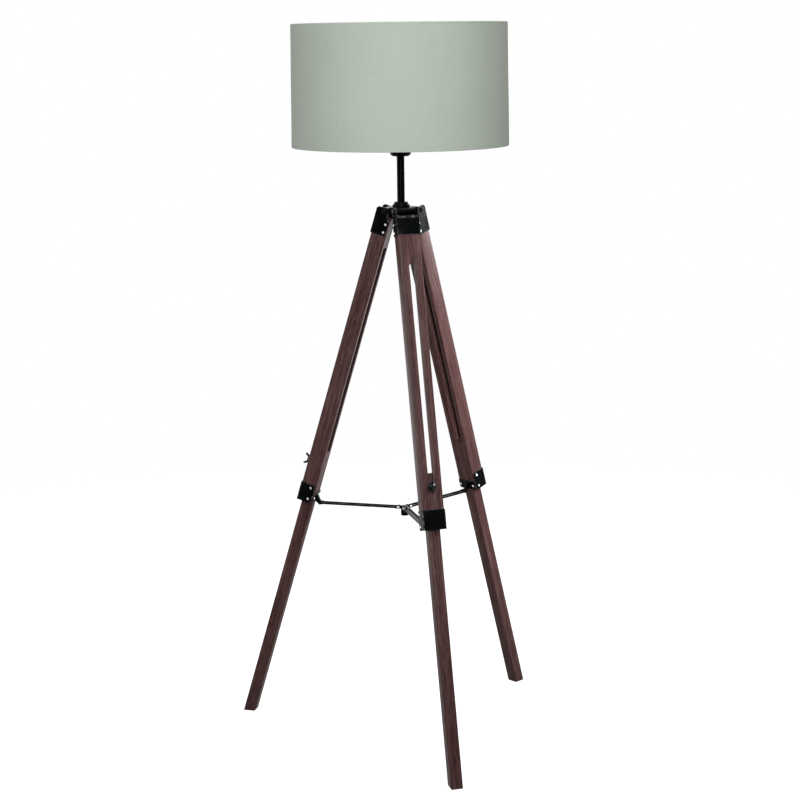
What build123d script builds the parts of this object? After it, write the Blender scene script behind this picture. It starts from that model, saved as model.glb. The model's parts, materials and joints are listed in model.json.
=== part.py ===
"""Tripod floor lamp: drum shade on a short stem, three telescopic wooden legs, folding spreader.

Millimetres, +Z up. The origin is on the floor, under the lamp's axis.
Leg 1 points to -Y, legs 2 and 3 follow at 120 degree steps.
A leg's own frame has its origin on the leg's pivot, X across the leg, Y outwards and Z up the leg.
A radial frame has its origin on the lamp's axis, X across, Y outwards and Z up.
"""
from build123d import *
from math import cos, radians, sin, tan
import os

# ---- the tripod ----
LEG_AZIMUTHS = (-90, 30, 150)
LEAN = 16.75                    # of an open leg, from the vertical
PIVOT_R = 29.0
PIVOT_Z = 1130.0

# ---- upper leg: a wooden channel, open on its inner face ----
WOOD_W = 45.0                   # across the leg
WOOD_T = 33.0                   # inner face to outer face
WEB_T = 7.5
RAIL_T = 9.7
WOOD_TOP = -17.5
WOOD_END = -660.0
CHANNEL_TOP = -78.0
SLOT_TOP = -112.0
SLOT_END = -577.0
SLOT_W = 10.5
WOOD_EDGE = 1.2                 # eased long edges

# ---- lower leg: a square stick that slides in the channel ----
STICK_W = 25.0
STICK_GAP = 0.3
STICK_TOP = -544.0
STUD_Z = -573.0
STUD_R = 3.0
STUD_IN = -8.0
STUD_OUT = 24.5

# ---- fits and sheet metal ----
RUNNING = 0.08                  # radial clearance of a turning fit
FACE_GAP = 0.3
SHEET = 2.0
CUT = 1.0                       # how far a cut runs past the surface it opens

# ---- hub, pivots and brackets ----
HUB_T = 15.0
HUB_BOSS_R = 25.0
HUB_ARM_W = 38.0
HUB_ARM_INSET = 1.0             # of the arms, from the boss's two faces
BARREL_R = 7.5
BOLT_R = 3.0
BOLT_HEAD_R = 5.5
BOLT_HEAD_T = 4.0
BOLT_HEAD_CHAMFER = 1.4
BOLT_END = 7.0                  # past the leg's bracket, through the nut
NUT_R = 5.8
NUT_T = 5.0
TOP_BRACKET = (-50.5, -16.0)    # height range of its outer plate
TOP_BRACKET_INNER = -14.5
EAR_INNER = -8.0
EAR_TOP = 7.0
EAR_CORNER = 4.0                # cut off each upper corner of an ear
EAR_ROOT = (-12.0, -22.0)       # where the ear widens into the bracket's flank
LOW_BRACKET = (-660.0, -619.0)
LOW_BRACKET_INNER = -14.5
STRAP = (-657.0, -638.0)
SCREW_R = 1.75
SCREW_LENGTH = 8.0
SCREW_HEAD_R = 2.9
SCREW_HEAD_T = 1.6
TOP_SCREWS = ((-9.0, -26.5), (-9.0, -43.5))
LOW_SCREWS = ((-6.0, -627.0), (-6.0, -652.5))
STRAP_SCREW_Z = -649.0

# ---- folding spreader ----
ARM_Z = 491.0
ARM_IN = 13.0                   # radius of its pin on the spreader's hub
ARM_OUT = 190.0                 # radius of its pin on the leg
ARM_W = 14.0
ARM_END_R = 3.5                 # of a flange, round its pin
ARM_H = 4.0                     # of a flange, between its ends
ARM_TAPER = 8.0                 # from a pin to the lower part of the flange
ARM_SHEET = 1.5
PIN_R = 2.0
LUG_PIN_GAP = 0.5               # from each end of the leg's pin to the arm's flange
LUG_T = 5.0
LUG_R = 4.5
LUG_FLARE = 2.0                 # the lug is this much deeper at the strap
TONGUE_R = 3.4
SPREADER_R = 8.25
SPREADER_BOTTOM = 473.5
SPREADER_TOP = 494.5
SPREADER_CHAMFER = 1.0
ARM_FLOOR_CUT = (6.0, 7.0)      # the arm's floor is cut back this far from its inner and outer pin
RIVET_R = 3.2
RIVET_T = 1.5

# ---- stem, from the hub up to the lampholder ----
HUB_TOP = PIVOT_Z + HUB_T / 2
NIPPLE = (1106.0, 1165.0)
NIPPLE_R = 5.0
NIPPLE_BORE = 3.6
LOCK_NUT_R = 9.8
LOCK_NUT_T = 8.0
GLAND = (1098.0, 1112.0)
GLAND_R = 7.5
GLAND_BORE = 3.2
GLAND_ROUND = 2.0
STEM_R = 8.0
STEM_TOP = 1242.5
COLLAR_STEP = 6.0
COLLAR_T = 11.0
COLLAR_R = (18.4, 14.8)
COLLAR_CHAMFER = 1.5
PLATE_R = 22.0
PLATE_T = 7.0
PLATE_ROUND = (4.0, 1.0)        # of the plate's lower and upper rim

# ---- lampholder for a 27 mm screw lamp ----
HOLDER_Z = STEM_TOP + PLATE_T
HOLDER_R = 18.5
HOLDER_H = 56.0
HOLDER_WALL = 2.5
HOLDER_STEP = 2.0               # the shell is this much wider under the shade fitter
HOLDER_FLOOR = 4.0
SLEEVE_R = 13.3
SLEEVE_T = 0.6
SLEEVE_TOP = 1300.0
SLEEVE_RIM_T = 2.0
INSERT_TOP = 1266.0
INSERT_GAP = 0.1
WELL_R = 6.0
WELL_DEPTH = 4.0
CONTACT_R = (4.0, 2.5)
CONTACT_T = 1.5
FITTER_Z = 1279.0
FITTER_R = 25.0
FITTER_T = 2.0
SHADE_RING_H = 6.0
RING_FIT = 0.1                  # radial gap of the two rings round the shell
RING_CHAMFER = 0.8

# ---- drum shade ----
SHADE_BOTTOM = 1263.4
SHADE_TOP = 1513.4
SHADE_R = 225.0                 # outside, at the bottom
SHADE_R_TOP = 222.0
FABRIC_T = 0.8
LINER_T = 0.8
RING_R = 2.0                    # wire rings inside the shade's two edges
SPOKE_R = 2.0
LAYER_GAP = 0.02                # between the fabric and its liner
WIRE_INSET = 1.0                # of a wire ring, from the shade's edge
WIRE_GAP = 0.1

HALF_W = WOOD_W / 2
HALF_T = WOOD_T / 2
PLATE_X = HALF_W + SHEET
CHANNEL_W = WOOD_W - 2 * RAIL_T
WEB_IN = HALF_T - WEB_T
STICK_Y = WEB_IN - STICK_GAP - STICK_W / 2
OUT_Y = HALF_T + SHEET
RUN_R = BOLT_R + RUNNING


def leg_frame(azimuth):
    """Place of a leg's own frame."""
    az = radians(azimuth)
    up = radians(LEAN)
    pivot = (PIVOT_R * cos(az), PIVOT_R * sin(az), PIVOT_Z)
    along = (-sin(up) * cos(az), -sin(up) * sin(az), cos(up))
    return Location(Plane(origin=pivot, x_dir=(sin(az), -cos(az), 0), z_dir=along))


def radial_frame(azimuth):
    """Place of the radial frame whose Y points to this azimuth."""
    return Location((0, 0, 0), (0, 0, azimuth - 90))


def block(x, y, z):
    """Box between the two bounds given for each axis."""
    size = (x[1] - x[0], y[1] - y[0], z[1] - z[0])
    middle = ((x[0] + x[1]) / 2, (y[0] + y[1]) / 2, (z[0] + z[1]) / 2)
    return Pos(*middle) * Box(*size)


def rod_x(radius, x0, x1, y=0.0, z=0.0):
    """Cylinder along X."""
    middle = Pos((x0 + x1) / 2, y, z)
    return middle * Rot(0, 90, 0) * Cylinder(radius, abs(x1 - x0))


def rod_y(radius, y0, y1, x=0.0, z=0.0):
    """Cylinder along Y."""
    middle = Pos(x, (y0 + y1) / 2, z)
    return middle * Rot(90, 0, 0) * Cylinder(radius, abs(y1 - y0))


def rod_z(radius, z0, z1):
    """Upright cylinder on the lamp's axis."""
    return Pos(0, 0, (z0 + z1) / 2) * Cylinder(radius, z1 - z0)


def tube_z(outer, inner, z0, z1):
    """Upright tube on the lamp's axis."""
    return rod_z(outer, z0, z1) - rod_z(inner, z0 - CUT, z1 + CUT)


def plate_yz(points, x0, x1):
    """Flat plate with this outline in the YZ plane, between x0 and x1."""
    face = make_face(Plane.YZ * Polyline(*points, close=True))
    return Pos(x0, 0, 0) * extrude(face, amount=x1 - x0, dir=(1, 0, 0))


# ---------------------------------------------------------------- upper leg
def screw_axes():
    """Each wood screw of a leg as its head's point on the metal and the direction it is driven in."""
    axes = []
    for y, z in TOP_SCREWS + LOW_SCREWS:
        axes.append(((PLATE_X, y, z), (-1, 0, 0)))
        axes.append(((-PLATE_X, y, z), (1, 0, 0)))
    rail_x = HALF_W - RAIL_T / 2
    for x in (-rail_x, rail_x):
        axes.append(((x, -OUT_Y, STRAP_SCREW_Z), (0, 1, 0)))
    return axes


def screw_shank(point, direction):
    """Shank of one wood screw, from the metal's surface into the wood."""
    start = Plane(origin=point, z_dir=direction)
    length = SHEET + SCREW_LENGTH
    return start * Pos(0, 0, length / 2) * Cylinder(SCREW_R, length)


def screw_head(point, direction):
    """Low domed head of one wood screw."""
    start = Plane(origin=point, z_dir=direction)
    dome_r = (SCREW_HEAD_R ** 2 + SCREW_HEAD_T ** 2) / (2 * SCREW_HEAD_T)
    ball = Pos(0, 0, dome_r - SCREW_HEAD_T) * Sphere(dome_r)
    keep = Pos(0, 0, -SCREW_HEAD_T / 2) * Cylinder(SCREW_HEAD_R, SCREW_HEAD_T)
    return start * (ball & keep)


def drilled(solid):
    """The solid with the holes of the leg's wood screws."""
    for point, direction in screw_axes():
        solid = solid - screw_shank(point, direction)
    return solid


def leg_screws():
    """All wood screws of one leg, as separate solids."""
    screws = []
    for point, direction in screw_axes():
        screws.append(screw_shank(point, direction) + screw_head(point, direction))
    return Compound(children=screws)


def leg_rail(side):
    """Side wall of the channel, with its two outer edges eased; side is -1 or 1."""
    inner = side * (HALF_W - RAIL_T)
    outer = side * HALF_W
    rail = block((min(inner, outer), max(inner, outer)), (-HALF_T, HALF_T), (WOOD_END, WOOD_TOP))
    edges = rail.edges().filter_by(Axis.Z).sort_by(Axis.X)
    outer_edges = edges[-2:] if side > 0 else edges[:2]
    return drilled(chamfer(outer_edges, WOOD_EDGE))


def leg_top_block():
    """Solid filler between the rails, above the channel."""
    half = CHANNEL_W / 2
    return block((-half, half), (-HALF_T, HALF_T), (CHANNEL_TOP, WOOD_TOP))


def leg_web():
    """Outer wall of the channel, with the long slot of the clamp."""
    half = CHANNEL_W / 2
    web = block((-half, half), (WEB_IN, HALF_T), (WOOD_END, CHANNEL_TOP))
    slot_r = SLOT_W / 2
    through = (WEB_IN - CUT, HALF_T + CUT)
    ends = (SLOT_END + slot_r, SLOT_TOP - slot_r)
    slot = block((-slot_r, slot_r), through, ends)
    for z in ends:
        slot = slot + rod_y(slot_r, *through, z=z)
    return web - slot


def leg_top_bracket():
    """Steel strap bent round the leg's outer face, with two ears that turn on the hub."""
    bottom, top = TOP_BRACKET
    outline = (
        (TOP_BRACKET_INNER, bottom),
        (OUT_Y, bottom),
        (OUT_Y, EAR_TOP - EAR_CORNER),
        (OUT_Y - EAR_CORNER, EAR_TOP),
        (EAR_INNER + EAR_CORNER, EAR_TOP),
        (EAR_INNER, EAR_TOP - EAR_CORNER),
        (EAR_INNER, EAR_ROOT[0]),
        (TOP_BRACKET_INNER, EAR_ROOT[1]),
    )
    bracket = block((-PLATE_X, PLATE_X), (HALF_T, OUT_Y), (bottom, top))
    for side in (-1, 1):
        x0 = min(side * HALF_W, side * PLATE_X)
        bracket = bracket + plate_yz(outline, x0, x0 + SHEET)
    bracket = bracket - rod_x(RUN_R, -PLATE_X - CUT, PLATE_X + CUT)
    return drilled(bracket)


def leg_lower_bracket():
    """Steel strap bent round the leg's outer face at the channel's lower end."""
    bottom, top = LOW_BRACKET
    bracket = block((-PLATE_X, PLATE_X), (LOW_BRACKET_INNER, OUT_Y), (bottom, top))
    wood = block((-HALF_W, HALF_W), (LOW_BRACKET_INNER - CUT, HALF_T), (bottom - CUT, top + CUT))
    return drilled(bracket - wood)


def lug_point():
    """Y and Z of the spreader arm's pin in the leg's frame."""
    lean = radians(LEAN)
    outwards = ARM_OUT - PIVOT_R
    upwards = ARM_Z - PIVOT_Z
    return (outwards * cos(lean) + upwards * sin(lean), upwards * cos(lean) - outwards * sin(lean))


def leg_spreader_bracket():
    """Strap across the leg's inner face, with the lug that the spreader arm is pinned to."""
    y, z = lug_point()
    bottom, top = STRAP
    strap = block((-HALF_W, HALF_W), (-OUT_Y, -HALF_T), (bottom, top))
    outline = (
        (-OUT_Y + SHEET / 2, top - LUG_FLARE),
        (-OUT_Y + SHEET / 2, bottom),
        (y + LUG_FLARE, z - LUG_R),
        (y, z - LUG_R),
        (y, z + LUG_R),
        (y + LUG_FLARE, z + LUG_R + LUG_FLARE),
    )
    lug = plate_yz(outline, -LUG_T / 2, LUG_T / 2) + rod_x(LUG_R, -LUG_T / 2, LUG_T / 2, y, z)
    return drilled(strap + lug - rod_x(PIN_R, -LUG_T, LUG_T, y, z))


def lug_pin():
    """Pin in the leg's lug, between the two flanges of the spreader arm."""
    y, z = lug_point()
    half = ARM_W / 2 - ARM_SHEET - LUG_PIN_GAP
    return rod_x(PIN_R, -half, half, y, z)


# ---------------------------------------------------------------- lower leg
def foot_z(y):
    """Height of the floor in the leg's frame, at this Y."""
    lean = radians(LEAN)
    return -PIVOT_Z / cos(lean) - y * tan(lean)


def leg_stick():
    """Square lower stick, its foot cut level with the floor."""
    y0 = STICK_Y - STICK_W / 2
    y1 = STICK_Y + STICK_W / 2
    outline = ((y0, STICK_TOP), (y1, STICK_TOP), (y1, foot_z(y1)), (y0, foot_z(y0)))
    stick = plate_yz(outline, -STICK_W / 2, STICK_W / 2)
    return stick - rod_y(STUD_R, STUD_IN, y1 + CUT, z=STUD_Z)


def clamp_stud():
    """Threaded stud fixed in the stick, out through the leg's slot."""
    return rod_y(STUD_R, STUD_IN, STUD_OUT, z=STUD_Z)


def wing_nut():
    """Nut on the stud that clamps the leg's length: a turned base and two flared wings."""
    base = HALF_T + FACE_GAP
    profile = Polyline(
        (0, base), (8.5, base), (8.5, base + 1.5), (6.5, base + 2.5), (5.5, base + 6.5), (0, base + 6.5),
        close=True,
    )
    body = revolve(make_face(Plane.XY * profile), axis=Axis.Y)
    wing = make_face(Plane.YZ * Polyline(
        (base + 1.0, 4.0), (base + 3.5, 7.5), (base + 8.5, 11.0), (base + 13.0, 12.5),
        (base + 14.0, 9.0), (base + 10.0, 6.5), (base + 6.0, 3.0),
        close=True,
    ))
    wing = Pos(-1.5, 0, 0) * extrude(wing, amount=3.0, dir=(1, 0, 0))
    nut = body + wing + mirror(wing, Plane.XY)
    return Pos(0, 0, STUD_Z) * nut - rod_y(STUD_R + RUNNING, base - CUT, STUD_OUT, z=STUD_Z)


# ---------------------------------------------------------------- folding spreader
def flange_outline(length, steps=6):
    """Outline of an arm's flange, from pin to pin: low, with a taller round end at each pin."""
    half = ARM_H / 2
    points = []
    for pin, turn, way in ((0, 90, 1), (length, -90, -1)):
        for index in range(steps + 1):
            angle = radians(turn + 180 * index / steps)
            points.append((pin + ARM_END_R * cos(angle), ARM_END_R * sin(angle)))
        points.append((pin + way * ARM_TAPER, -way * half))
        points.append((length - pin - way * ARM_TAPER, -way * half))
    return points


def spreader_arm():
    """Pressed channel, open at its top, with its floor cut back at both pins."""
    half = ARM_W / 2
    length = ARM_OUT - ARM_IN
    outline = flange_outline(length)
    arm = plate_yz(outline, -half, -half + ARM_SHEET) + plate_yz(outline, half - ARM_SHEET, half)
    low = -ARM_H / 2
    inner_cut, outer_cut = ARM_FLOOR_CUT
    arm = arm + block((-half, half), (inner_cut, length - outer_cut), (low, low + ARM_SHEET))
    arm = arm - rod_x(PIN_R + RUNNING, -half - CUT, half + CUT)
    return Pos(0, ARM_IN, ARM_Z) * arm


def spreader_tongue():
    """One of the hub's three tongues, inside the arm's channel."""
    tongue = block((-LUG_T / 2, LUG_T / 2), (0, ARM_IN), (ARM_Z - TONGUE_R, ARM_Z + TONGUE_R))
    tongue = tongue + rod_x(TONGUE_R, -LUG_T / 2, LUG_T / 2, ARM_IN, ARM_Z)
    return tongue - rod_x(PIN_R, -LUG_T, LUG_T, ARM_IN, ARM_Z)


def spreader_hub():
    """Round post on the lamp's axis that the three arms hang on."""
    post = rod_z(SPREADER_R, SPREADER_BOTTOM, SPREADER_TOP)
    post = chamfer(post.edges().filter_by(GeomType.CIRCLE), SPREADER_CHAMFER)
    for azimuth in LEG_AZIMUTHS:
        post = post + radial_frame(azimuth) * spreader_tongue()
    return post


def spreader_pins():
    """Riveted pins of the three arms, as separate solids."""
    head_x = ARM_W / 2 + FACE_GAP
    pin = rod_x(PIN_R, -head_x - RIVET_T, head_x + RIVET_T, ARM_IN, ARM_Z)
    for side in (-1, 1):
        pin = pin + rod_x(RIVET_R, side * head_x, side * (head_x + RIVET_T), ARM_IN, ARM_Z)
    return Compound(children=[radial_frame(azimuth) * pin for azimuth in LEG_AZIMUTHS])


# ---------------------------------------------------------------- hub and stem
def hub_plate():
    """Cast hub: a round boss, three arms and a barrel across the end of each arm."""
    z0 = PIVOT_Z - HUB_T / 2
    hub = rod_z(HUB_BOSS_R, z0, HUB_TOP)
    half_barrel = HALF_W - FACE_GAP
    arm_z = (z0 + HUB_ARM_INSET, HUB_TOP - HUB_ARM_INSET)
    for azimuth in LEG_AZIMUTHS:
        arm = block((-HUB_ARM_W / 2, HUB_ARM_W / 2), (0, PIVOT_R), arm_z)
        barrel = rod_x(BARREL_R, -half_barrel, half_barrel, PIVOT_R, PIVOT_Z)
        hub = hub + radial_frame(azimuth) * (arm + barrel)
    for azimuth in LEG_AZIMUTHS:
        bore = rod_x(RUN_R, -HALF_W, HALF_W, PIVOT_R, PIVOT_Z)
        hub = hub - radial_frame(azimuth) * bore
    return hub - rod_z(NIPPLE_R, z0 - CUT, HUB_TOP + CUT)


def pivot_bolts():
    """Bolts that the three legs turn on, as separate solids."""
    head_x = PLATE_X + FACE_GAP
    bolt = rod_x(BOLT_R, -head_x - BOLT_END, head_x + BOLT_HEAD_T / 2, PIVOT_R, PIVOT_Z)
    head = rod_x(BOLT_HEAD_R, head_x, head_x + BOLT_HEAD_T, PIVOT_R, PIVOT_Z)
    head = chamfer(head.edges().filter_by(GeomType.CIRCLE).sort_by(Axis.X)[-1], BOLT_HEAD_CHAMFER)
    return Compound(children=[radial_frame(azimuth) * (bolt + head) for azimuth in LEG_AZIMUTHS])


def hex_prism(corner_r, height):
    """Hexagonal prism standing on the XY plane."""
    return extrude(RegularPolygon(corner_r, 6), amount=height)


def pivot_nuts():
    """Nuts on the three pivot bolts, as separate solids."""
    nut = hex_prism(NUT_R, NUT_T) - Cylinder(BOLT_R, 4 * NUT_T)
    place = Pos(-PLATE_X - FACE_GAP, PIVOT_R, PIVOT_Z) * Rot(0, -90, 0)
    return Compound(children=[radial_frame(azimuth) * place * nut for azimuth in LEG_AZIMUTHS])


def stem_nipple():
    """Threaded tube that holds the stem on the hub and carries the wires."""
    return tube_z(NIPPLE_R, NIPPLE_BORE, *NIPPLE)


def stem_lock_nut():
    """Hexagonal nut on the nipple, under the hub."""
    z0 = PIVOT_Z - HUB_T / 2 - LOCK_NUT_T
    nut = Pos(0, 0, z0) * hex_prism(LOCK_NUT_R, LOCK_NUT_T)
    return nut - rod_z(NIPPLE_R, z0 - CUT, z0 + LOCK_NUT_T + CUT)


def cable_gland():
    """Bushing on the nipple's lower end, with a rounded mouth."""
    bottom, top = GLAND
    body = rod_z(GLAND_R, bottom, top)
    body = fillet(body.edges().filter_by(GeomType.CIRCLE).sort_by(Axis.Z)[0], GLAND_ROUND)
    return body - rod_z(NIPPLE_R, NIPPLE[0], top + CUT) - rod_z(GLAND_BORE, bottom - CUT, top)


def stem_collar():
    """Two-step turned collar round the stem's foot."""
    collar = rod_z(COLLAR_R[0], HUB_TOP, HUB_TOP + COLLAR_STEP)
    collar = collar + rod_z(COLLAR_R[1], HUB_TOP + COLLAR_STEP, HUB_TOP + COLLAR_T)
    rims = collar.edges().filter_by(GeomType.CIRCLE).sort_by(Axis.Z)
    collar = chamfer(rims[-1], COLLAR_CHAMFER)
    return collar - rod_z(STEM_R, HUB_TOP - CUT, HUB_TOP + COLLAR_T + CUT)


def stem_tube():
    """Straight stem from the hub to the plate under the lampholder."""
    return tube_z(STEM_R, NIPPLE_R, HUB_TOP, STEM_TOP)


def holder_plate():
    """Round dished plate on the stem, under the lampholder."""
    plate = rod_z(PLATE_R, STEM_TOP, HOLDER_Z)
    rims = plate.edges().filter_by(GeomType.CIRCLE).sort_by(Axis.Z)
    plate = fillet(rims[0], PLATE_ROUND[0])
    plate = fillet(plate.edges().filter_by(GeomType.CIRCLE).sort_by(Axis.Z)[-1], PLATE_ROUND[1])
    return plate - rod_z(NIPPLE_R, STEM_TOP - CUT, HOLDER_Z + CUT)


# ---------------------------------------------------------------- lampholder
def holder_shell():
    """Outer shell of the lampholder, with a step that the shade fitter rests on."""
    top = HOLDER_Z + HOLDER_H
    floor_z = HOLDER_Z + HOLDER_FLOOR
    shell = rod_z(HOLDER_R + HOLDER_STEP, HOLDER_Z, FITTER_Z) + rod_z(HOLDER_R, FITTER_Z, top)
    shell = shell - rod_z(HOLDER_R - HOLDER_WALL, floor_z, top + CUT)
    return shell - rod_z(NIPPLE_R, HOLDER_Z - CUT, floor_z + CUT)


def holder_insert():
    """Ceramic block with the centre contact's well."""
    insert = rod_z(HOLDER_R - HOLDER_WALL - INSERT_GAP, HOLDER_Z + HOLDER_FLOOR, INSERT_TOP)
    return insert - rod_z(WELL_R, INSERT_TOP - WELL_DEPTH, INSERT_TOP + CUT)


def holder_contact():
    """Spring contact in the ceramic block."""
    z0 = INSERT_TOP - WELL_DEPTH
    leaf_r, tip_r = CONTACT_R
    return rod_z(leaf_r, z0, z0 + CONTACT_T) + rod_z(tip_r, z0 + CONTACT_T, z0 + 2 * CONTACT_T)


def holder_sleeve():
    """Metal screw sleeve that takes the lamp's cap, on a rim over the ceramic block."""
    wall = tube_z(SLEEVE_R + SLEEVE_T, SLEEVE_R, INSERT_TOP, SLEEVE_TOP)
    rim_r = HOLDER_R - HOLDER_WALL - INSERT_GAP
    rim = tube_z(rim_r, SLEEVE_R, SLEEVE_TOP - SLEEVE_RIM_T, SLEEVE_TOP)
    return wall + rim


def shade_ring():
    """Threaded ring that clamps the shade fitter on the lampholder."""
    z0 = FITTER_Z + FITTER_T
    ring = tube_z(FITTER_R, HOLDER_R + RING_FIT, z0, z0 + SHADE_RING_H)
    return chamfer(ring.edges().filter_by(GeomType.CIRCLE).group_by(Axis.Z)[-1], RING_CHAMFER)


# ---------------------------------------------------------------- shade
def shade_radius(z, depth=0.0):
    """Radius of the shade's wall at this height, this deep under its outer surface."""
    share = (z - SHADE_BOTTOM) / (SHADE_TOP - SHADE_BOTTOM)
    return SHADE_R + (SHADE_R_TOP - SHADE_R) * share - depth


def shade_wall(depth, thickness):
    """Conical wall of the shade, from one edge to the other."""
    profile = Polyline(
        (shade_radius(SHADE_BOTTOM, depth), SHADE_BOTTOM),
        (shade_radius(SHADE_TOP, depth), SHADE_TOP),
        (shade_radius(SHADE_TOP, depth + thickness), SHADE_TOP),
        (shade_radius(SHADE_BOTTOM, depth + thickness), SHADE_BOTTOM),
        close=True,
    )
    return revolve(make_face(Plane.XZ * profile), axis=Axis.Z)


def shade_fabric():
    """Fabric skin of the drum."""
    return shade_wall(0.0, FABRIC_T)


def shade_liner():
    """Stiff liner behind the fabric."""
    return shade_wall(FABRIC_T + LAYER_GAP, LINER_T)


def wire_z(top):
    """Height of a wire ring's centre."""
    return SHADE_TOP - RING_R - WIRE_INSET if top else SHADE_BOTTOM + RING_R + WIRE_INSET


def wire_radius(z):
    """Radius of a wire ring's centre line at this height."""
    return shade_radius(z, FABRIC_T + LINER_T + RING_R + WIRE_GAP)


def wire_ring(top):
    """Round wire ring inside the shade's top or bottom edge."""
    z = wire_z(top)
    return Pos(0, 0, z) * Torus(wire_radius(z), RING_R)


def shade_fitter():
    """Centre ring on the lampholder with three spokes down to the bottom wire ring."""
    fitter = tube_z(FITTER_R, HOLDER_R + RING_FIT, FITTER_Z, FITTER_Z + FITTER_T)
    ring_z = wire_z(False)
    start = Vector(0, FITTER_R - SPOKE_R, FITTER_Z - SPOKE_R / 2)
    end = Vector(0, wire_radius(ring_z) - RING_R - 2 * WIRE_GAP, ring_z)
    length = (end - start).length
    spoke = Plane(origin=start, z_dir=end - start) * Pos(0, 0, length / 2) * Cylinder(SPOKE_R, length)
    for azimuth in LEG_AZIMUTHS:
        fitter = fitter + radial_frame(azimuth + 180) * spoke
    return fitter


def build():
    """Every node's name and solid, in the lamp's frame."""
    nodes = {
        "hub_plate": hub_plate(),
        "pivot_bolts": pivot_bolts(),
        "pivot_nuts": pivot_nuts(),
        "stem_nipple": stem_nipple(),
        "stem_lock_nut": stem_lock_nut(),
        "cable_gland": cable_gland(),
        "stem_collar": stem_collar(),
        "stem_tube": stem_tube(),
        "holder_plate": holder_plate(),
        "holder_shell": holder_shell(),
        "holder_insert": holder_insert(),
        "holder_contact": holder_contact(),
        "holder_sleeve": holder_sleeve(),
        "shade_ring": shade_ring(),
        "shade_fitter": shade_fitter(),
        "shade_top_wire": wire_ring(True),
        "shade_bottom_wire": wire_ring(False),
        "shade_liner": shade_liner(),
        "shade_fabric": shade_fabric(),
        "spreader_hub": spreader_hub(),
        "spreader_pins": spreader_pins(),
    }
    leg_parts = {
        "rail_left": leg_rail(-1),
        "rail_right": leg_rail(1),
        "top_block": leg_top_block(),
        "web": leg_web(),
        "top_bracket": leg_top_bracket(),
        "lower_bracket": leg_lower_bracket(),
        "spreader_bracket": leg_spreader_bracket(),
        "lug_pin": lug_pin(),
        "screws": leg_screws(),
        "stick": leg_stick(),
        "clamp_stud": clamp_stud(),
        "wing_nut": wing_nut(),
    }
    arm = spreader_arm()
    for number, azimuth in enumerate(LEG_AZIMUTHS, 1):
        frame = leg_frame(azimuth)
        for name, solid in leg_parts.items():
            nodes[f"leg_{number}_{name}"] = frame * solid
        nodes[f"spreader_arm_{number}"] = radial_frame(azimuth) * arm
    return nodes


if __name__ == "__main__":
    os.makedirs("parts", exist_ok=True)
    for node_name, node_solid in build().items():
        export_step(node_solid, f"parts/{node_name}.step")
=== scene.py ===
"""Looks of the tripod floor lamp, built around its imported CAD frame. Metres, +Z up.

A leg's place, read from its joints, has its origin on the pivot, X across the leg, Y outwards and
Z up the leg. A radial place has its origin on the lamp's axis, X across, Y outwards and Z up.
The profile of a round piece is a list of (radius, height) points, with a third number where the
corner is rounded, and it is spun round Z.
"""
import json
import math

import bmesh
import bpy
import numpy as np
from mathutils import Matrix, Vector

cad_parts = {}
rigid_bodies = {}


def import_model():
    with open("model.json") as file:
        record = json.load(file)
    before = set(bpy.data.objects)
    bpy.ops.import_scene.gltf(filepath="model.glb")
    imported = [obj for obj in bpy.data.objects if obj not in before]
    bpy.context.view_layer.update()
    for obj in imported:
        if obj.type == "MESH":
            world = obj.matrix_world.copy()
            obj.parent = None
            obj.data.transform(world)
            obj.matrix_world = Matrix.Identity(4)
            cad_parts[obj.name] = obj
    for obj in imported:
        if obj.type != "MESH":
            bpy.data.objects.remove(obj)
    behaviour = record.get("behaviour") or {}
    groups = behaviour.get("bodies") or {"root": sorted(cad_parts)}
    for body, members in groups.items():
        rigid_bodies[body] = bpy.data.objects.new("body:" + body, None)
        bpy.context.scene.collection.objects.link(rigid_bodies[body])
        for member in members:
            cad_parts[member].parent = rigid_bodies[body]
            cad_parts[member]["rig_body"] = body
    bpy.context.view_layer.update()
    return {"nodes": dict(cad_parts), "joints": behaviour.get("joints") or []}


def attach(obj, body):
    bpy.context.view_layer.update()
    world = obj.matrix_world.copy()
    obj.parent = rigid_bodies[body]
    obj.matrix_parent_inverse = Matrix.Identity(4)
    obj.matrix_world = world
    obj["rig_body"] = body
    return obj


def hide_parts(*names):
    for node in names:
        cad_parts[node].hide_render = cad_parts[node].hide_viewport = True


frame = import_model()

NODES = frame["nodes"]
JOINTS = {joint["name"]: joint for joint in frame["joints"]}
LEGS = (1, 2, 3)
RNG = np.random.default_rng(7)

# ---- meshes ----
WELD = 2e-6
FLAT = math.radians(0.2)        # CAD triangles closer than this make one face
CREASE = math.radians(28)       # a sharper edge is rounded, and shades as an edge
TURN = np.linspace(0, 2 * math.pi, 96, endpoint=False)
FINE_TURN = np.linspace(0, 2 * math.pi, 48, endpoint=False)
HAIR = 0.0002                   # keeps two faces from lying in each other

# ---- wood ----
LONG_EDGE = 0.1                 # a board's and a spreader arm's own edges are longer
ARRIS = 0.0013                  # rounding of a leg's outer long edges
CHANNEL_ARRIS = 0.0006
SLOT_ARRIS = 0.0005
END_ARRIS = 0.0005

# ---- metal ----
PLATE_EDGE = 0.00035
BEND_R = 0.0019                 # outside of a bent strap's corner
CAST_VOXEL = 0.0006
WING_VOXEL = 0.00035

# ---- shade ----
FABRIC_T = 0.0008
LINER_T = 0.0008
WIRE_R = 0.002
HEM_DEPTH = 0.013               # how far the fabric turns in at each edge
HEM_LAP = 0.0005
SEAM_ANGLE = math.radians(72)
SEAM_WIDTH = 0.012
SEAM_EASE = 0.002               # angle in which the lap rises
SEAM_STEP = 0.0006

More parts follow.
